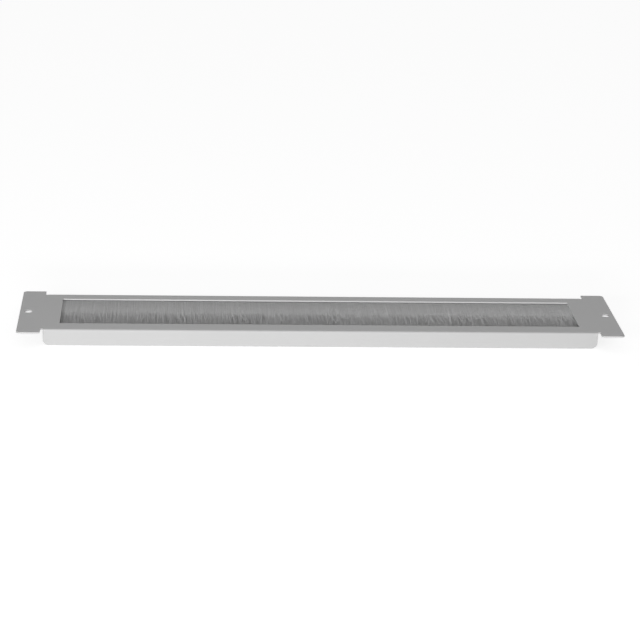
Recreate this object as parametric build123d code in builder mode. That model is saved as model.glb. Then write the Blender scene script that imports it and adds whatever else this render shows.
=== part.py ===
from build123d import *

import math
import os

# Rack brush panel in millimetres, lying face up.
# X runs along its length, -Y is its front and +Z points out of its face.
# The origin is the middle of its footprint, on the plane that its flanges stand on.

# Folded sheet
sheet = 1.2
rail_hole_spacing = 465.1
rail_hole_diameter = 6.6
hole_to_end = 6.75
ear_length = 18.3
ear_depth = 103.0
ear_corner_radius = 3.0
body_depth = 89.0
flange_height = 13.2
flange_corner_radius = 5.0
bend_inner_radius = 0.4
relief_width = 2.0
front_margin = 15.5
back_margin = 12.0
end_margin = 14.5

# Brush: a folded channel that grips bristles looped round a wire
channel_size = 4.8
channel_wall = 0.6
channel_bend_radius = 1.2
lip_length = 1.5
lip_pinch = 0.3
wire_diameter = 1.6
fit_clearance = 0.05
brush_overlap = 6.0
tuft_inset = 1.0
spread_reach = 7.0
spread_headroom = 0.3
tip_overlap = 8.0
tuft_pitch = 3.9
tuft_slit = 0.2
tip_gap = 1.5
tip_thickness = 2.2
tip_sag = 2.2
tuft_levels = 3
level_step = 0.7
tip_unevenness = 3.0
unevenness_rate = 2.9
tip_lean = 0.5
lean_rate = 1.7
lean_swell_rate = 0.31
close_share = 0.5

# Clamp rail and blind rivets
rail_sheet = 1.0
rail_inset = 4.0
rail_foot_gap = 0.6
rail_lip_height = 0.6
rivet_diameter = 2.4
rivet_hole_clearance = 0.05
rivet_pitch = 130.0
rivet_head_diameter = 5.0
rivet_head_height = 0.7
rivet_head_crown = 2.0
rivet_bulb_diameter = 3.6
rivet_bulb_length = 2.2
mandrel_diameter = 1.3
mandrel_recess = 0.3
mandrel_head_diameter = 2.1
mandrel_head_length = 0.9

# Places that follow from the sheet
bend_outer_radius = bend_inner_radius + sheet
overall_length = rail_hole_spacing + 2 * hole_to_end
body_length = overall_length - 2 * ear_length
flange_length = body_length - 2 * relief_width
underside = flange_height - sheet
flange_inner = body_depth / 2 - sheet
opening_length = body_length - 2 * end_margin
opening_front = -body_depth / 2 + front_margin
opening_back = body_depth / 2 - back_margin
opening_depth = opening_back - opening_front

# Places that follow from the brush
brush_length = opening_length + 2 * brush_overlap
channel_front = flange_inner - channel_size
channel_bottom = underside - channel_size
brush_height = underside - channel_size / 2
loop_thickness = channel_size / 2 - channel_wall - wire_diameter / 2
wire_line = flange_inner - channel_wall - loop_thickness - wire_diameter / 2
mouth_height = channel_size - 2 * (channel_wall + lip_pinch + fit_clearance)
tuft_root = channel_front + tuft_inset
tuft_tip = opening_front - tip_overlap
tuft_reach = tuft_root - tuft_tip
tuft_count = round(brush_length / tuft_pitch)
tuft_spacing = brush_length / tuft_count
spread_end = channel_front - spread_reach
spread_height = channel_size - 2 * spread_headroom
root_height = mouth_height - tuft_inset * (spread_height - mouth_height) / spread_reach
close_end = tuft_root - close_share * tuft_reach

# Places that follow from the rail
rail_length = flange_length - 2 * rail_inset
rail_underside = channel_bottom - rail_sheet
rail_lip_back = channel_front - bend_inner_radius
rail_leg_inner = flange_inner - rail_sheet
rivet_line = (rail_foot_gap + rail_underside) / 2
rivet_span = rail_length - 2 * (flange_corner_radius + rivet_head_diameter)
rivet_gaps = math.floor(rivet_span / rivet_pitch)
rivet_places = [(place - rivet_gaps / 2) * rivet_pitch for place in range(rivet_gaps + 1)]
rivet_hole_radius = rivet_diameter / 2 + rivet_hole_clearance


# Panel: the face with its ears, opening and rail holes, and a flange along each long edge
with BuildPart() as panel:
    with BuildSketch(Plane.YZ.offset(-flange_length / 2)):
        with BuildLine():
            FilletPolyline(
                (-body_depth / 2, 0),
                (-body_depth / 2, flange_height),
                (body_depth / 2, flange_height),
                (body_depth / 2, 0),
                radius=bend_outer_radius,
            )
            offset(amount=sheet, side=Side.RIGHT)
        make_face()
    extrude(amount=flange_length)
    with BuildSketch(Plane.XY.offset(flange_height)) as face_outline:
        Rectangle(body_length + ear_length, body_depth - 2 * bend_outer_radius)
        ear_middle = (overall_length - ear_length) / 2
        with Locations((-ear_middle, 0), (ear_middle, 0)):
            Rectangle(ear_length, ear_depth)
        ear_ends = face_outline.vertices().group_by(Axis.X)
        fillet(ear_ends[0] + ear_ends[-1], ear_corner_radius)
    extrude(amount=-sheet)
    with BuildSketch(Plane.XY.offset(flange_height)):
        with Locations((0, (opening_front + opening_back) / 2)):
            Rectangle(opening_length, opening_depth)
    extrude(amount=-sheet, mode=Mode.SUBTRACT)
    rail_hole = rail_hole_spacing / 2
    with Locations((-rail_hole, 0, flange_height), (rail_hole, 0, flange_height)):
        Hole(rail_hole_diameter / 2, depth=sheet)
    with BuildSketch(Plane.XZ.offset(-body_depth / 2)):
        with Locations([(place, rivet_line) for place in rivet_places]):
            Circle(rivet_hole_radius)
    extrude(amount=sheet, mode=Mode.SUBTRACT)
    flange_feet = panel.edges().filter_by(Axis.Y).group_by(Axis.Z)[0]
    fillet(flange_feet, flange_corner_radius)


def channel_outline():
    """Draw the channel's outer line, from its lower lip round its closed back to its upper lip."""
    lip_start = channel_front + lip_length
    return FilletPolyline(
        (channel_front, channel_bottom + lip_pinch),
        (lip_start, channel_bottom),
        (flange_inner, channel_bottom),
        (flange_inner, underside),
        (lip_start, underside),
        (channel_front, underside - lip_pinch),
        radius=channel_bend_radius,
    )


# Brush channel: one strip folded to a U whose lips pinch the bristles
with BuildPart() as brush_channel:
    with BuildSketch(Plane.YZ.offset(-brush_length / 2)):
        with BuildLine():
            channel_outline()
            offset(amount=channel_wall, side=Side.LEFT)
        make_face()
    extrude(amount=brush_length)

# Core wire: it lies in the closed back of the channel
with BuildPart() as core_wire:
    with BuildSketch(Plane.YZ.offset(-brush_length / 2)):
        with Locations((wire_line, brush_height)):
            Circle(wire_diameter / 2)
    extrude(amount=brush_length)


def tuft_outline(index):
    """Give one tuft's corners seen from above: close to its neighbours, then narrowing and leaning to its tip."""
    middle = (index + 1 / 2) * tuft_spacing - brush_length / 2
    tip_middle = middle + tip_lean * math.sin(lean_rate * index) * math.cos(lean_swell_rate * index)
    tip = tuft_tip + tip_unevenness * (1 + math.sin(unevenness_rate * index)) / 2
    close_half = (tuft_spacing - tuft_slit) / 2
    tip_half = (tuft_spacing - tip_gap) / 2
    return [
        (middle - close_half, tuft_root),
        (middle - close_half, close_end),
        (tip_middle - tip_half, tip),
        (tip_middle + tip_half, tip),
        (middle + close_half, close_end),
        (middle + close_half, tuft_root),
    ]


def comb(level):
    """Make every tuft of one level: each level's tips lie a little higher than the last one's."""
    tip_height = brush_height - tip_sag + (level - (tuft_levels - 1) / 2) * level_step
    close_height = brush_height - tip_sag * close_share**2
    close_half = (mouth_height + level_step) / 2
    with BuildPart() as tufts:
        with BuildSketch():
            for index in range(level, tuft_count, tuft_levels):
                Polygon(*tuft_outline(index), align=None)
        extrude(amount=flange_height)
        with BuildSketch(Plane.YZ.offset(-brush_length / 2)):
            Polygon(
                (tuft_root, brush_height - root_height / 2),
                (spread_end, brush_height - spread_height / 2),
                (close_end, close_height - close_half),
                (tuft_tip, tip_height - tip_thickness / 2),
                (tuft_tip, tip_height + tip_thickness / 2),
                (close_end, close_height + close_half),
                (spread_end, brush_height + spread_height / 2),
                (tuft_root, brush_height + root_height / 2),
                align=None,
            )
        extrude(amount=brush_length, mode=Mode.INTERSECT)
    return tufts.part


# Bristles: one field, folded round the wire and combed into tufts
combs = [comb(level) for level in range(tuft_levels)]
with BuildPart() as bristles:
    with BuildSketch(Plane.YZ.offset(-brush_length / 2)):
        with BuildLine():
            gripped = channel_outline()
            Line(gripped @ 1, gripped @ 0)
        make_face()
        offset(amount=-channel_wall - fit_clearance, kind=Kind.INTERSECTION)
        with Locations((wire_line, brush_height)):
            Circle(wire_diameter / 2 + fit_clearance, mode=Mode.SUBTRACT)
    extrude(amount=brush_length)
    add(combs)

# Clamp rail: a leg on the back flange, a shelf under the channel and a lip in front of it
with BuildPart() as clamp_rail:
    with BuildSketch(Plane.YZ.offset(-rail_length / 2)):
        with BuildLine():
            FilletPolyline(
                (flange_inner, rail_foot_gap),
                (flange_inner, channel_bottom),
                (rail_lip_back, channel_bottom),
                (rail_lip_back, channel_bottom + rail_lip_height),
                radius=[bend_inner_radius + rail_sheet, bend_inner_radius],
            )
            offset(amount=rail_sheet, side=Side.LEFT)
        make_face()
    extrude(amount=rail_length)
    with BuildSketch(Plane.XZ.offset(-flange_inner)):
        with Locations([(place, rivet_line) for place in rivet_places]):
            Circle(rivet_hole_radius)
    extrude(amount=rail_sheet, mode=Mode.SUBTRACT)

# Blind rivets: a domed head on the flange's outside, a hollow shank and a bulb behind the rail
rivet_head_face = body_depth / 2
rivet_blind_end = rail_leg_inner - rivet_bulb_length
mandrel_hole_radius = mandrel_diameter / 2 + fit_clearance
with BuildPart() as rivet_bodies:
    for place in rivet_places:
        rivet_middle = (place, 0, rivet_line)
        with BuildSketch(Plane(rivet_middle, x_dir=(0, 1, 0), z_dir=(1, 0, 0))):
            Polygon(
                (rivet_head_face + rivet_head_height, mandrel_hole_radius),
                (rivet_blind_end, mandrel_hole_radius),
                (rivet_blind_end, rivet_diameter / 2),
                (rail_leg_inner - rivet_bulb_length / 2, rivet_bulb_diameter / 2),
                (rail_leg_inner, rivet_diameter / 2),
                (rivet_head_face, rivet_diameter / 2),
                (rivet_head_face, rivet_head_diameter / 2),
                (rivet_head_face + rivet_head_height, rivet_head_crown / 2),
                align=None,
            )
        revolve(axis=Axis(rivet_middle, (0, 1, 0)))

# Mandrels: the broken stems that stay in the rivets, each with its head at the blind end
with BuildPart() as rivet_mandrels:
    for place in rivet_places:
        with BuildSketch(Plane.XZ.offset(-rivet_head_face - rivet_head_height + mandrel_recess)):
            with Locations((place, rivet_line)):
                Circle(mandrel_diameter / 2)
        extrude(amount=rivet_head_face + rivet_head_height - mandrel_recess - rivet_blind_end)
        with BuildSketch(Plane.XZ.offset(-rivet_blind_end)):
            with Locations((place, rivet_line)):
                Circle(mandrel_head_diameter / 2)
        extrude(amount=mandrel_head_length)

pieces = {
    "panel": panel,
    "clamp_rail": clamp_rail,
    "brush_channel": brush_channel,
    "core_wire": core_wire,
    "bristles": bristles,
    "rivet_bodies": rivet_bodies,
    "rivet_mandrels": rivet_mandrels,
}

os.makedirs("parts", exist_ok=True)
for name, piece in pieces.items():
    piece.part.label = name
    export_step(piece.part, f"parts/{name}.step")
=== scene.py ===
"""Rack brush panel: the finishes, the bristles and the studio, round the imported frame.

Every length is in metres and every place is in the frame's own axes: X along the panel,
-Y towards its front edge, +Z out of its face, with the origin under its middle.
"""

import logging
import math
import random
from dataclasses import dataclass, field
from enum import Enum

import bmesh
import bpy
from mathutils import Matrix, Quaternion, Vector, noise

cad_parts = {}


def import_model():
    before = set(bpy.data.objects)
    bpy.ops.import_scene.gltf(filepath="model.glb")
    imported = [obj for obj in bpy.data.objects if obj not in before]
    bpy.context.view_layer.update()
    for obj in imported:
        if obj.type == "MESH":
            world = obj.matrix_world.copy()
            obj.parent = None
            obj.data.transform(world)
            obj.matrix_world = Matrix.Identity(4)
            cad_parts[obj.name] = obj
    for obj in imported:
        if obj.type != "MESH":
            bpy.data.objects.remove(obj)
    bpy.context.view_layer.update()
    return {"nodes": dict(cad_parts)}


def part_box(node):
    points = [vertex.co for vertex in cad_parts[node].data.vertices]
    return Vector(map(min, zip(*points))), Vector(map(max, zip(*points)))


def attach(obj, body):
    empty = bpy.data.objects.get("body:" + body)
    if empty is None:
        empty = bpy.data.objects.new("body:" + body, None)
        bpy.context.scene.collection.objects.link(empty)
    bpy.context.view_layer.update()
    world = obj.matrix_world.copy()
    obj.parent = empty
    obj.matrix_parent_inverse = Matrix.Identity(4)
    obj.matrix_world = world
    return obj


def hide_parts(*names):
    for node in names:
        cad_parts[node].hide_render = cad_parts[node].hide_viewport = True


Colour = tuple[float, float, float, float]
Profile = list[tuple[float, float]]
Course = list[Vector]

MM = 0.001
BODY = "root"
ZINC_COLOUR = (0.62, 0.63, 0.64)
WIRE_COLOUR = (0.5, 0.5, 0.52)
ALUMINIUM_COLOUR = (0.72, 0.72, 0.73)

log = logging.getLogger("rack_brush_panel")


class Slot(Enum):
    """The record's material slots."""

    COAT = "coat"
    ZINC = "zinc"
    WIRE = "wire"
    BRISTLE = "bristle"
    RIVET = "rivet"


def grey(value: float) -> Colour:
    """Give a neutral, opaque colour, from 0, black, to 1, white."""
    return (value, value, value, 1.0)


def arc(
    centre: tuple[float, float],
    radii: tuple[float, float],
    start: float,
    end: float,
    steps: int,
) -> Profile:
    """Give points on a part of an ellipse.

    Args:
        centre: The ellipse's middle.
        radii: Its two radii.
        start: The first point's angle in degrees.
        end: The last point's angle in degrees.
        steps: How many steps there are between them.

    Returns:
        The points.
    """
    points = []
    for step in range(steps + 1):
        angle = math.radians(start + (end - start) * step / steps)
        across = centre[0] + radii[0] * math.cos(angle)
        along = centre[1] + radii[1] * math.sin(angle)
        points.append((across, along))
    return points


class NodeGraph:
    """A material's nodes while they are being joined up."""

    def __init__(self, name: str) -> None:
        """Start a material that holds one Principled shader.

        Args:
            name: The material's name.
        """
        self.material = bpy.data.materials.new(name)
        self.material.use_nodes = True
        self.tree = self.material.node_tree
        self.shader = self.tree.nodes["Principled BSDF"]
        self.output = self.tree.nodes["Material Output"]

    def add(self, kind: str, **settings: object) -> bpy.types.Node:
        """Add a node.

        Args:
            kind: The node's type, without its ShaderNode prefix.
            settings: Properties to set on the node.

        Returns:
            The new node.
        """
        node = self.tree.nodes.new("ShaderNode" + kind)
        for key, value in settings.items():
            setattr(node, key, value)
        return node

    def link(self, source: bpy.types.NodeSocket, target: bpy.types.NodeSocket) -> None:
        """Join an output to an input, which drops any link that it already has."""
        self.tree.links.new(source, target)

    def constants(self, **values: object) -> None:
        """Set the shader's sockets that are the same all over, with underscores for spaces."""
        for key, value in values.items():
            self.shader.inputs[key.replace("_", " ")].default_value = value

    def place(self, stretch: Vector) -> bpy.types.NodeSocket:
        """Read the surface's own place, stretched along the frame's axes.

        Args:
            stretch: How many pattern units there are to a metre along each axis.

        Returns:
            The stretched coordinates.
        """
        where = self.add("TexCoord")
        mapping = self.add("Mapping")
        mapping.inputs["Scale"].default_value = stretch
        self.link(where.outputs["Object"], mapping.inputs["Vector"])
        return mapping.outputs["Vector"]

    def noise(self, stretch: Vector, detail: float = 2.0) -> bpy.types.NodeSocket:
        """Add a noise pattern on the surface's own place.

        Args:
            stretch: How many pattern units there are to a metre along each axis.
            detail: How many octaves the noise has.

        Returns:
            The pattern, from 0 to 1.
        """
        pattern = self.add("TexNoise")
        pattern.inputs["Scale"].default_value = 1.0
        pattern.inputs["Detail"].default_value = detail
        self.link(self.place(stretch), pattern.inputs["Vector"])
        return pattern.outputs["Fac"]

    def spread(self, source: bpy.types.NodeSocket, low: float, high: float) -> bpy.types.NodeSocket:
        """Bring a pattern from 0 to 1 into another range.

        Args:
            source: The pattern.
            low: The value that 0 becomes.
            high: The value that 1 becomes.

        Returns:
            The pattern in its new range.
        """
        reach = self.add("MapRange")
        reach.inputs["To Min"].default_value = low
        reach.inputs["To Max"].default_value = high
        self.link(source, reach.inputs["Value"])
        return reach.outputs["Result"]

    def blend(
        self,
        source: bpy.types.NodeSocket,
        low: Colour,
        high: Colour,
    ) -> bpy.types.NodeSocket:
        """Turn a pattern from 0 to 1 into a colour.

        Args:
            source: The pattern.
            low: The colour that 0 becomes.
            high: The colour that 1 becomes.

        Returns:
            The colour.
        """
        ramp = self.add("ValToRGB")
        ramp.color_ramp.elements[0].color = low
        ramp.color_ramp.elements[1].color = high
        self.link(source, ramp.inputs["Fac"])
        return ramp.outputs["Color"]

    def bump(self, height: bpy.types.NodeSocket, depth: float, strength: float) -> None:
        """Raise the surface by a pattern, on top of any relief that it already has.

        Args:
            height: The pattern, from 0 to 1.
            depth: The pattern's real height in metres.
            strength: How much of it shows.
        """
        relief = self.add("Bump")
        relief.inputs["Distance"].default_value = depth
        relief.inputs["Strength"].default_value = strength
        self.link(height, relief.inputs["Height"])
        normal = self.shader.inputs["Normal"]
        if normal.is_linked:
            self.link(normal.links[0].from_socket, relief.inputs["Normal"])
        self.link(relief.outputs["Normal"], normal)


@dataclass(frozen=True)
class PowderCoat:
    """Light grey powder coat, satin, with the fine orange peel that it cures with."""

    colour: float = 0.57
    cloud: float = 0.008
    cloud_size: float = 60 * MM
    roughness: float = 0.5
    shine: float = 0.4
    peel_size: float = 1.1 * MM
    peel_depth: float = 0.02 * MM
    peel_detail: float = 1.0
    peel_strength: float = 0.5
    grain_size: float = 0.16 * MM
    grain_depth: float = 0.004 * MM
    grain_strength: float = 0.4

    def material(self) -> bpy.types.Material:
        """Build the coat's material.

        Returns:
            The material.
        """
        graph = NodeGraph("powder_coat")
        graph.constants(Roughness=self.roughness, Specular_IOR_Level=self.shine)
        cloud = graph.noise(Vector.Fill(3, 1 / self.cloud_size))
        colour = graph.blend(cloud, grey(self.colour - self.cloud), grey(self.colour + self.cloud))
        graph.link(colour, graph.shader.inputs["Base Color"])
        peel = graph.noise(Vector.Fill(3, 1 / self.peel_size), detail=self.peel_detail)
        graph.bump(peel, self.peel_depth, self.peel_strength)
        grain = graph.noise(Vector.Fill(3, 1 / self.grain_size))
        graph.bump(grain, self.grain_depth, self.grain_strength)
        return graph.material


@dataclass(frozen=True)
class RolledMetal:
    """Bare or plated metal with fine lines along the way that it was rolled or drawn."""

    name: str
    colour: tuple[float, float, float]
    dull: float = 0.9
    smoothest: float = 0.34
    roughest: float = 0.5
    line_width: float = 0.12 * MM
    line_length: float = 40 * MM
    line_depth: float = 0.003 * MM
    line_detail: float = 3.0
    line_strength: float = 0.5
    spangle_size: float = 5 * MM

    def material(self) -> bpy.types.Material:
        """Build the metal's material.

        Returns:
            The material.
        """
        graph = NodeGraph(self.name)
        graph.constants(Metallic=1.0)
        spangle = graph.noise(Vector.Fill(3, 1 / self.spangle_size))
        darker = tuple(self.dull * part for part in self.colour) + (1.0,)
        colour = graph.blend(spangle, darker, self.colour + (1.0,))
        graph.link(colour, graph.shader.inputs["Base Color"])
        across = 1 / self.line_width
        lines = graph.noise(Vector((1 / self.line_length, across, across)), detail=self.line_detail)
        roughness = graph.spread(lines, self.smoothest, self.roughest)
        graph.link(roughness, graph.shader.inputs["Roughness"])
        graph.bump(lines, self.line_depth, self.line_strength)
        return graph.material


@dataclass(frozen=True)
class BristlePlastic:
    """Grey plastic filament, a little darker or lighter from one bristle to the next, with the
    standing tufts' bristles painted lighter as a painted highlight.
    """

    darkest: float = 0.7
    lightest: float = 0.86
    roughness: float = 0.55
    shine: float = 0.2

    def material(self) -> bpy.types.Material:
        """Build the filaments' material, which reads each bristle's own shade.

        Returns:
            The material.
        """
        graph = NodeGraph("bristle_plastic")
        graph.constants(Roughness=self.roughness, Specular_IOR_Level=self.shine)
        shade = graph.add("Attribute", attribute_name="shade")
        colour = graph.blend(shade.outputs["Fac"], grey(self.darkest), grey(self.lightest))
        graph.link(colour, graph.shader.inputs["Base Color"])
        return graph.material


def dress(piece: bpy.types.Object, material: bpy.types.Material) -> None:
    """Give a piece one material, in every slot that it has.

    Args:
        piece: The piece.
        material: Its material.
    """
    slots = piece.data.materials
    if not slots:
        slots.append(material)
    for index in range(len(slots)):
        slots[index] = material


def add_piece(
    name: str,
    mesh: bpy.types.Mesh,
    material: bpy.types.Material,
) -> bpy.types.Object:
    """Put a finished mesh on the part.

    Args:
        name: The piece's name.
        mesh: Its mesh, with its place in its vertices.
        material: Its material.

    Returns:
        The new piece.
    """
    piece = bpy.data.objects.new(name, mesh)
    bpy.context.scene.collection.objects.link(piece)
    dress(piece, material)
    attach(piece, BODY)
    mesh.calc_loop_triangles()
    log.info("%s: %d triangles", name, len(mesh.loop_triangles))
    return piece


@dataclass
class Sheet:
    """The folded panel, with the softened edges that its coat gives it."""

    material: bpy.types.Material
    edge_radius: float = 0.15 * MM
    edge_segments: int = 2
    sharp_angle: float = math.radians(35)
    merge_distance: float = 0.001 * MM

    def build(self, node: bpy.types.Object) -> None:
        """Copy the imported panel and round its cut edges.

        Args:
            node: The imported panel.
        """
        mesh = node.data.copy()
        shape = bmesh.new()
        shape.from_mesh(mesh)
        bmesh.ops.remove_doubles(shape, verts=shape.verts, dist=self.merge_distance)
        bmesh.ops.recalc_face_normals(shape, faces=shape.faces)
        for face in shape.faces:
            face.smooth = True
        for edge in shape.edges:
            edge.smooth = True
        shape.to_mesh(mesh)
        shape.free()
        mesh.attributes.remove(mesh.attributes["custom_normal"])
        piece = add_piece("folded_sheet", mesh, self.material)
        edge = piece.modifiers.new("coated_edge", "BEVEL")
        edge.width = self.edge_radius
        edge.segments = self.edge_segments
        edge.limit_method = "ANGLE"
        edge.angle_limit = self.sharp_angle
        edge.use_clamp_overlap = False
        edge.harden_normals = True
        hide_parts("panel")


@dataclass
class BlindRivets:
    """The set blind rivets that hold the clamp rail, and the broken stems that stay in them."""

    body_material: bpy.types.Material
    stem_material: bpy.types.Material
    head_height: float = 0.7 * MM
    rim_height: float = 0.2 * MM
    shank_radius: float = 1.2 * MM
    bulb_radius: float = 1.8 * MM
    bulb_length: float = 2.2 * MM
    bore_radius: float = 0.7 * MM
    bore_round: float = 0.12 * MM
    stem_radius: float = 0.65 * MM
    stem_recess: float = 0.3 * MM
    stem_cone: float = 0.15 * MM
    stem_head_radius: float = 1.05 * MM
    stem_head_round: float = 0.35 * MM
    curve_steps: int = 8
    turn_steps: int = 48
    sharp_angle: float = math.radians(40)
    merge_distance: float = 0.0005 * MM
    least_spacing: float = 20 * MM

    def __post_init__(self) -> None:
        """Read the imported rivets' heads and ends."""
        low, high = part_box("rivet_bodies")
        self.head_top = high.y
        self.head_radius = (high.z - low.z) / 2
        self.height = (high.z + low.z) / 2
        self.blind_end = low.y
        self.stem_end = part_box("rivet_mandrels")[0].y

    def places(self, node: bpy.types.Object) -> list[float]:
        """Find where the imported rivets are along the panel.

        Args:
            node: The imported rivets.

        Returns:
            The middle of each rivet.
        """
        across = sorted(vertex.co.x for vertex in node.data.vertices)
        groups = [[across[0]]]
        for value in across[1:]:
            if value - groups[-1][-1] > self.least_spacing:
                groups.append([])
            groups[-1].append(value)
        return [(group[0] + group[-1]) / 2 for group in groups]

    def body_profile(self) -> Profile:
        """Draw a rivet's section, from the bore round the head to the blind end.

        Returns:
            The section's points, each as its radius and its place along Y.
        """
        seat = self.head_top - self.head_height
        crown = self.bore_radius + self.bore_round
        dome = (self.head_radius - crown, self.head_height - self.rim_height)
        grip = self.blind_end + self.bulb_length
        bulb = (self.bulb_radius - self.shank_radius, self.bulb_length / 2)
        bulb_centre = (self.shank_radius, self.blind_end + self.bulb_length / 2)
        lip = (self.bore_round, self.bore_round)
        return [
            *arc((crown, self.head_top - self.bore_round), lip, 180, 90, self.curve_steps),
            *arc((crown, seat + self.rim_height), dome, 90, 0, self.curve_steps)[1:],
            (self.head_radius, seat),
            (self.shank_radius, seat),
            (self.shank_radius, grip),
            *arc(bulb_centre, bulb, 90, -90, self.curve_steps)[1:],
            (self.bore_radius, self.blind_end),
        ]

    def stem_profile(self) -> Profile:
        """Draw a stem's section, from its broken end to its head.

        Returns:
            The section's points, each as its radius and its place along Y.
        """
        broken = self.head_top - self.stem_recess
        edge = self.stem_head_radius - self.stem_head_round
        rounding = (self.stem_head_round, self.stem_head_round)
        return [
            (0.0, broken),
            (self.stem_radius / 2, broken - self.stem_cone / 3),
            (self.stem_radius, broken - self.stem_cone),
            (self.stem_radius, self.blind_end),
            (self.stem_head_radius, self.blind_end),
            *arc((edge, self.stem_end + self.stem_head_round), rounding, 0, -90, self.curve_steps),
            (0.0, self.stem_end),
        ]

    def turned(
        self,
        name: str,
        profile: Profile,
        places: list[float],
        closed: bool,
    ) -> bpy.types.Mesh:
        """Turn a profile round each rivet's axis.

        Args:
            name: The mesh's name.
            profile: The section to turn.
            places: The rivets' places along the panel.
            closed: Whether the section's last point joins its first.

        Returns:
            The mesh of all the turned pieces.
        """
        shape = bmesh.new()
        for place in places:
            corners = [
                shape.verts.new((place + radius, along, self.height)) for radius, along in profile
            ]
            pairs = list(zip(corners, corners[1:]))
            if closed:
                pairs.append((corners[-1], corners[0]))
            edges = [shape.edges.new(pair) for pair in pairs]
            bmesh.ops.spin(
                shape,
                geom=corners + edges,
                cent=(place, 0.0, self.height),
                axis=(0.0, 1.0, 0.0),
                angle=math.tau,
                steps=self.turn_steps,
            )
        bmesh.ops.remove_doubles(shape, verts=shape.verts, dist=self.merge_distance)
        bmesh.ops.recalc_face_normals(shape, faces=shape.faces)
        for face in shape.faces:
            face.smooth = True
        for edge in shape.edges:
            edge.smooth = edge.calc_face_angle(0.0) < self.sharp_angle
        mesh = bpy.data.meshes.new(name)
        shape.to_mesh(mesh)
        shape.free()
        return mesh

    def build(self, node: bpy.types.Object) -> None:
        """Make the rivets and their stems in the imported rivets' places.

        Args:
            node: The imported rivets.
        """
        places = self.places(node)
        bodies = self.turned("blind_rivets", self.body_profile(), places, closed=True)
        piece = add_piece("blind_rivets", bodies, self.body_material)
        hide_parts("rivet_bodies")
        stems = self.turned("rivet_stems", self.stem_profile(), places, closed=False)
        piece = add_piece("rivet_stems", stems, self.stem_material)
        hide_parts("rivet_mandrels")


@dataclass(frozen=True)
class Station:
    """The bristles' field at one share of their length from the channel's mouth."""

    along: float
    rise: float
    thickness: float


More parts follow.
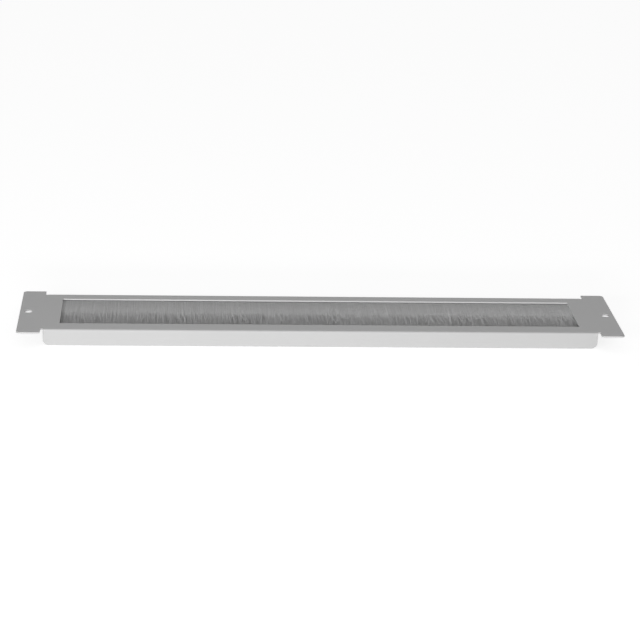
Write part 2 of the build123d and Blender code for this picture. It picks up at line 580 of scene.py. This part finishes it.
@dataclass
class BristleField:
    """One row of bristles, looped round the wire, gripped by the channel and combed forward."""

    material: bpy.types.Material
    layer_count: int = 10
    bristles_in_layer: int = 1400
    layers_in_piece: int = 2
    bristle_radius: float = 0.15 * MM
    tip_radius: float = 0.1 * MM
    stations: tuple[Station, ...] = (
        Station(0.0, 0.0, 2.5 * MM),
        Station(0.09, 0.4 * MM, 3.7 * MM),
        Station(0.44, 0.42 * MM, 3.5 * MM),
        Station(0.55, -1.15 * MM, 3.1 * MM),
        Station(0.72, -2.7 * MM, 2.8 * MM),
        Station(1.0, -3.1 * MM, 2.4 * MM),
    )
    free_from: float = 0.44
    tip_unevenness: float = 4.0 * MM
    tip_bias: int = 2
    level_jitter: float = 0.2
    place_jitter: tuple[float, float] = (0.3, 0.7)
    wire_gap: float = 0.2 * MM
    channel_wall: float = 0.6 * MM
    lift: float = 0.8 * MM
    lift_width: float = 1.3 * MM
    lift_rate: float = 1.6
    lift_phase: float = 7.5
    gather: float = 0.9 * MM
    gather_width: float = 1.2 * MM
    gather_rate: float = 2.2
    gather_phase: float = 0.5
    waver: float = 0.12 * MM
    stray_count: int = 630
    tuft_largest: int = 3
    tuft_width: float = 0.45 * MM
    tuft_level: float = 0.4
    tuft_from: float = 0.46
    tuft_depth: float = 0.3 * MM
    tuft_lean: float = math.radians(5)
    tuft_shortest: float = 0.66
    tuft_longest: float = 0.88
    tuft_lowest_slope: float = 0.005
    tuft_highest_slope: float = 0.056
    least_lean_share: float = 0.5
    own_lean: float = 0.012
    own_share: tuple[float, float] = (0.9, 1.0)
    own_slope: float = 0.01
    field_shades: tuple[float, float] = (0.0, 0.4)
    # The tufts' range sits above the field's: a painted highlight where the standing bristles catch
    # the low light, on top of their random tone.
    tuft_tones_with_painted_highlight: tuple[float, float] = (0.2, 0.9)
    merge_distance: float = 0.00001 * MM
    seed: int = 21
    rng: random.Random = field(init=False)

    def __post_init__(self) -> None:
        """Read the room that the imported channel, wire and bristles leave."""
        self.rng = random.Random(self.seed)
        low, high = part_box("brush_channel")
        wire_low, wire_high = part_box("core_wire")
        self.mouth = low.y
        self.centre = (low.z + high.z) / 2
        self.half_length = high.x - self.bristle_radius
        self.wire_line = (wire_low.y + wire_high.y) / 2
        self.wire_radius = (wire_high.y - wire_low.y) / 2
        self.loop_back = high.y - self.channel_wall - self.wire_gap
        inner_half = (high.z - low.z) / 2 - self.channel_wall
        self.loop_room = inner_half - self.wire_radius - 2 * self.wire_gap
        self.tip_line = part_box("bristles")[0].y

    def freedom(self, along: float) -> float:
        """Say how freely the bristles part at a share of their length, from 0, close, to 1."""
        loose = min(1.0, max(0.0, (along - self.free_from) / (1 - self.free_from)))
        return loose * loose * (3 - 2 * loose)

    def root(self, place: float, level: float) -> Course:
        """Bring a bristle from the back of the wire over or under it.

        Args:
            place: Where along the panel the bristle is.
            level: Its height in the field, from -0.5, the lowest, to 0.5.

        Returns:
            The two points before the channel's mouth.
        """
        side = math.copysign(1.0, level)
        seat = self.wire_radius + self.wire_gap + 2 * abs(level) * self.loop_room
        return [
            Vector((place, self.loop_back, self.centre + side * self.wire_gap)),
            Vector((place, self.wire_line, self.centre + side * seat)),
        ]

    def bristle(self, layer: int, place: float) -> Course:
        """Work out the line of one bristle of the close field.

        Args:
            layer: Which layer it is in, from 0, the lowest.
            place: Where along the panel its root is.

        Returns:
            The points from the back of the wire to the tip.
        """
        rng = self.rng
        jitter = rng.uniform(-self.level_jitter, self.level_jitter)
        level = (layer + 0.5 + jitter) / self.layer_count - 0.5
        tip = self.tip_line + self.tip_unevenness * rng.random() ** self.tip_bias
        length = self.mouth - tip
        spot = Vector((place / self.gather_width, self.gather_rate * level, self.gather_phase))
        sideways = self.gather * noise.noise(spot) + rng.gauss(0, self.waver)
        spot = Vector((place / self.lift_width, self.lift_rate * level, self.lift_phase))
        upward = self.lift * noise.noise(spot) + rng.gauss(0, self.waver)
        points = self.root(place, level)
        for station in self.stations:
            free = self.freedom(station.along)
            z = self.centre + station.rise + station.thickness * level + free * upward
            points.append(Vector((place + free * sideways, self.mouth - station.along * length, z)))
        return points

    def stray(self, place: float, lean: float, share: float, slope: float) -> Course:
        """Work out the line of a bristle that stands up out of the field.

        Args:
            place: Where along the panel its root is.
            lean: Its slope to the side, where it is free.
            share: Its length as a share of the longest bristles' length.
            slope: Its slope upwards, where it is free.

        Returns:
            The points from the back of the wire to the tip.
        """
        longest = self.mouth - self.tip_line
        points = self.root(place, self.tuft_level)
        start = self.field_top(self.tuft_from)
        for station in self.stations:
            along = station.along * share
            free = max(0.0, along - self.tuft_from) * longest
            rise = start + slope * free if free else self.field_top(along)
            z = self.centre + rise - self.tuft_depth
            points.append(Vector((place + lean * free, self.mouth - along * longest, z)))
        return points

    def field_top(self, along: float) -> float:
        """Say how high the close field's upper side is.

        Args:
            along: The share of the bristles' length from the mouth.

        Returns:
            The height above the mouth's middle.
        """
        for near, far in zip(self.stations, self.stations[1:]):
            if along <= far.along:
                part = (along - near.along) / (far.along - near.along)
                middle = near.rise + part * (far.rise - near.rise)
                return middle + (near.thickness + part * (far.thickness - near.thickness)) / 2
        return self.stations[-1].rise + self.stations[-1].thickness / 2

    def tufts(self) -> list[Course]:
        """Let small tufts stand up out of the field, the ones to the right leaning more.

        Returns:
            Their bristles' lines.
        """
        lines = []
        while len(lines) < self.stray_count:
            place = self.rng.uniform(-self.half_length, self.half_length)
            to_right = (place + self.half_length) / (2 * self.half_length)
            lean_spread = self.tuft_lean * (self.least_lean_share + to_right)
            lean = math.tan(self.rng.gauss(0, lean_spread))
            share = self.rng.uniform(self.tuft_shortest, self.tuft_longest)
            slope = self.rng.uniform(self.tuft_lowest_slope, self.tuft_highest_slope)
            for _ in range(self.rng.randint(1, self.tuft_largest)):
                spot = place + self.tuft_width * self.rng.uniform(-0.5, 0.5)
                spot = max(-self.half_length, min(self.half_length, spot))
                own_lean = lean + self.rng.gauss(0, self.own_lean)
                own_share = share * self.rng.uniform(*self.own_share)
                own_slope = slope - self.own_slope * self.rng.random()
                lines.append(self.stray(spot, own_lean, own_share, own_slope))
        return lines

    def build(self) -> None:
        """Make all the bristles, in several pieces."""
        pitch = 2 * self.half_length / self.bristles_in_layer
        layers = range(self.layer_count)
        for first in layers[:: self.layers_in_piece]:
            lines = []
            for layer in layers[first : first + self.layers_in_piece]:
                for index in range(self.bristles_in_layer):
                    steps = index + self.rng.uniform(*self.place_jitter)
                    lines.append(self.bristle(layer, -self.half_length + steps * pitch))
            name = f"bristle_layers_{first + 1}_{first + self.layers_in_piece}"
            self.piece(name, lines, self.field_shades)
        # The tufts get the lighter range of shades, a painted highlight.
        self.piece("bristle_tufts", self.tufts(), self.tuft_tones_with_painted_highlight)

    def strands(self, name: str, lines: list[Course]) -> bpy.types.Mesh:
        """Give bristles' lines their thickness.

        Args:
            name: The mesh's name.
            lines: The bristles' lines.

        Returns:
            The mesh of all the bristles, with each end's cap still loose.
        """
        data = bpy.data.curves.new(name, "CURVE")
        data.dimensions = "3D"
        data.bevel_depth = 1.0
        data.bevel_resolution = 0
        data.use_fill_caps = True
        for line in lines:
            spline = data.splines.new("POLY")
            spline.points.add(len(line) - 1)
            spline.points.foreach_set("co", [part for point in line for part in (*point, 1.0)])
            radii = [self.bristle_radius] * (len(line) - 1) + [self.tip_radius]
            spline.points.foreach_set("radius", radii)
        carrier = bpy.data.objects.new(name + "_line", data)
        bpy.context.scene.collection.objects.link(carrier)
        graph = bpy.context.evaluated_depsgraph_get()
        mesh = bpy.data.meshes.new_from_object(carrier.evaluated_get(graph))
        bpy.data.objects.remove(carrier)
        bpy.data.curves.remove(data)
        mesh.shade_smooth()
        return mesh

    def give_shades(
        self,
        mesh: bpy.types.Mesh,
        lines: list[Course],
        shades: tuple[float, float],
    ) -> None:
        """Give each bristle its own shade.

        Args:
            mesh: The bristles' mesh.
            lines: The lines that it was made from.
            shades: The lowest and highest shade that a bristle may have, from 0 to 1.
        """
        sides = len(mesh.vertices) // sum(len(line) for line in lines)
        values = []
        for line in lines:
            values += [self.rng.uniform(*shades)] * (len(line) * sides)
        mesh.attributes.new("shade", "FLOAT", "POINT").data.foreach_set("value", values)

    def close_ends(self, mesh: bpy.types.Mesh) -> None:
        """Join each end's cap to its bristle, and keep its rim sharp.

        Args:
            mesh: The bristles' mesh.
        """
        shape = bmesh.new()
        shape.from_mesh(mesh)
        for edge in shape.edges:
            edge.smooth = not edge.is_boundary
        rims = [vertex for vertex in shape.verts if vertex.is_boundary]
        bmesh.ops.remove_doubles(shape, verts=rims, dist=self.merge_distance)
        shape.to_mesh(mesh)
        shape.free()

    def piece(self, name: str, lines: list[Course], shades: tuple[float, float]) -> None:
        """Turn some of the bristles' lines into a piece.

        Args:
            name: The piece's name.
            lines: The bristles' lines.
            shades: The lowest and highest shade that a bristle may have, from 0 to 1.
        """
        mesh = self.strands(name, lines)
        self.give_shades(mesh, lines, shades)
        self.close_ends(mesh)
        piece = add_piece(name, mesh, self.material)
        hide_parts("bristles")


@dataclass
class Studio:
    """A plain pale floor, a low main light, a weaker one at its left, and even light all round."""

    floor_size: float = 9.0
    floor_colour: float = 0.65
    seen_floor_colour: float = 0.45
    seen_floor_glow: float = 0.815
    room_light: float = 0.305
    key_place: Vector = field(default_factory=lambda: Vector((-0.25, -1.9, 0.21)))
    key_width: float = 0.9
    key_height: float = 0.08
    key_power: float = 22.5
    side_place: Vector = field(default_factory=lambda: Vector((-0.9, -1.6, 0.5)))
    side_width: float = 0.8
    side_height: float = 0.3
    side_power: float = 8.0

    def seen_rays(self, tree: bpy.types.NodeTree) -> bpy.types.NodeSocket:
        """Tell the rays that see the background from the ones that only carry its light.

        Args:
            tree: The tree to add the nodes to.

        Returns:
            1 for camera, glossy and transmission rays, and 0 for the others.
        """
        path = tree.nodes.new("ShaderNodeLightPath")
        seen = path.outputs["Is Camera Ray"]
        for name in ("Is Glossy Ray", "Is Transmission Ray"):
            either = tree.nodes.new("ShaderNodeMath")
            either.operation = "MAXIMUM"
            tree.links.new(seen, either.inputs[0])
            tree.links.new(path.outputs[name], either.inputs[1])
            seen = either.outputs[0]
        return seen

    def room(self) -> None:
        """Light the object evenly from a room that is seen as white."""
        world = bpy.data.worlds.new("pale_room")
        world.use_nodes = True
        bpy.context.scene.world = world
        tree = world.node_tree
        light = tree.nodes["Background"]
        light.inputs["Strength"].default_value = self.room_light
        light.inputs["Color"].default_value = grey(1.0)
        white = tree.nodes.new("ShaderNodeBackground")
        white.inputs["Color"].default_value = grey(1.0)
        mix = tree.nodes.new("ShaderNodeMixShader")
        tree.links.new(self.seen_rays(tree), mix.inputs["Fac"])
        tree.links.new(light.outputs[0], mix.inputs[1])
        tree.links.new(white.outputs[0], mix.inputs[2])
        tree.links.new(mix.outputs[0], tree.nodes["World Output"].inputs["Surface"])

    def floor(self) -> None:
        """Lay the floor, which is seen as white and keeps the object's shadow."""
        shape = bmesh.new()
        bmesh.ops.create_grid(shape, x_segments=1, y_segments=1, size=self.floor_size / 2)
        mesh = bpy.data.meshes.new("floor")
        shape.to_mesh(mesh)
        shape.free()
        floor = bpy.data.objects.new("floor", mesh)
        bpy.context.scene.collection.objects.link(floor)
        graph = NodeGraph("pale_floor")
        tree = graph.tree
        plain = graph.add("BsdfDiffuse")
        plain.inputs["Color"].default_value = grey(self.floor_colour)
        seen = graph.add("BsdfDiffuse")
        seen.inputs["Color"].default_value = grey(self.seen_floor_colour)
        glow = graph.add("Emission")
        glow.inputs["Strength"].default_value = self.seen_floor_glow
        both = graph.add("AddShader")
        graph.link(seen.outputs[0], both.inputs[0])
        graph.link(glow.outputs[0], both.inputs[1])
        mix = graph.add("MixShader")
        graph.link(self.seen_rays(tree), mix.inputs["Fac"])
        graph.link(plain.outputs[0], mix.inputs[1])
        graph.link(both.outputs[0], mix.inputs[2])
        graph.link(mix.outputs[0], graph.output.inputs["Surface"])
        tree.nodes.remove(graph.shader)
        dress(floor, graph.material)

    def softbox(self, name: str, place: Vector, width: float, height: float, power: float) -> None:
        """Hang a rectangular light that points at the object.

        Args:
            name: The light's name.
            place: Where it hangs.
            width: Its width.
            height: Its height.
            power: Its power in watts.
        """
        lamp = bpy.data.lights.new(name, "AREA")
        lamp.shape = "RECTANGLE"
        lamp.size = width
        lamp.size_y = height
        lamp.energy = power
        light = bpy.data.objects.new(name, lamp)
        bpy.context.scene.collection.objects.link(light)
        light.location = place
        light.rotation_mode = "QUATERNION"
        light.rotation_quaternion = (-place).to_track_quat("-Z", "Y")
        light.visible_camera = False

    def build(self) -> None:
        """Set up the floor and the lights."""
        self.room()
        self.floor()
        self.softbox("key", self.key_place, self.key_width, self.key_height, self.key_power)
        self.softbox("side", self.side_place, self.side_width, self.side_height, self.side_power)
        bpy.context.scene.view_settings.view_transform = "Standard"


@dataclass(frozen=True)
class Viewpoint:
    """Where the photograph was taken from."""

    azimuth: float = math.radians(3.9212)
    elevation: float = math.radians(18.5941)
    roll: float = math.radians(1.6670)
    distance: float = 1.84692
    aim_x: float = 0.95 * MM
    aim_y: float = 2.66 * MM
    aim_z: float = 6.6 * MM
    lens: float = 128.765
    sensor: float = 36.0

    def build(self) -> None:
        """Set the camera there."""
        level = math.cos(self.elevation)
        axis = Vector(
            (
                math.sin(self.azimuth) * level,
                math.cos(self.azimuth) * level,
                -math.sin(self.elevation),
            )
        )
        data = bpy.data.cameras.new("viewpoint")
        data.lens = self.lens
        data.sensor_width = self.sensor
        camera = bpy.data.objects.new("viewpoint", data)
        bpy.context.scene.collection.objects.link(camera)
        camera.location = Vector((self.aim_x, self.aim_y, self.aim_z)) - self.distance * axis
        camera.rotation_mode = "QUATERNION"
        turn = Quaternion((0, 0, 1), self.roll)
        camera.rotation_quaternion = axis.to_track_quat("-Z", "Y") @ turn
        bpy.context.scene.camera = camera


def main() -> None:
    """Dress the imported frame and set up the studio."""
    logging.basicConfig(level=logging.INFO, format="%(message)s")
    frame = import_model()
    nodes = frame["nodes"]

    coat = PowderCoat().material()
    zinc = RolledMetal("zinc_plate", ZINC_COLOUR).material()
    wire = RolledMetal("drawn_wire", WIRE_COLOUR).material()
    aluminium = RolledMetal("rivet_aluminium", ALUMINIUM_COLOUR).material()
    plastic = BristlePlastic().material()

    dress(nodes["panel"], coat)
    dress(nodes["clamp_rail"], zinc)
    dress(nodes["brush_channel"], zinc)
    dress(nodes["core_wire"], wire)
    dress(nodes["rivet_bodies"], aluminium)
    dress(nodes["rivet_mandrels"], wire)
    dress(nodes["bristles"], plastic)

    Sheet(coat).build(nodes["panel"])
    BlindRivets(aluminium, wire).build(nodes["rivet_bodies"])
    BristleField(plastic).build()

    Studio().build()
    Viewpoint().build()


if __name__ == "__main__":
    main()
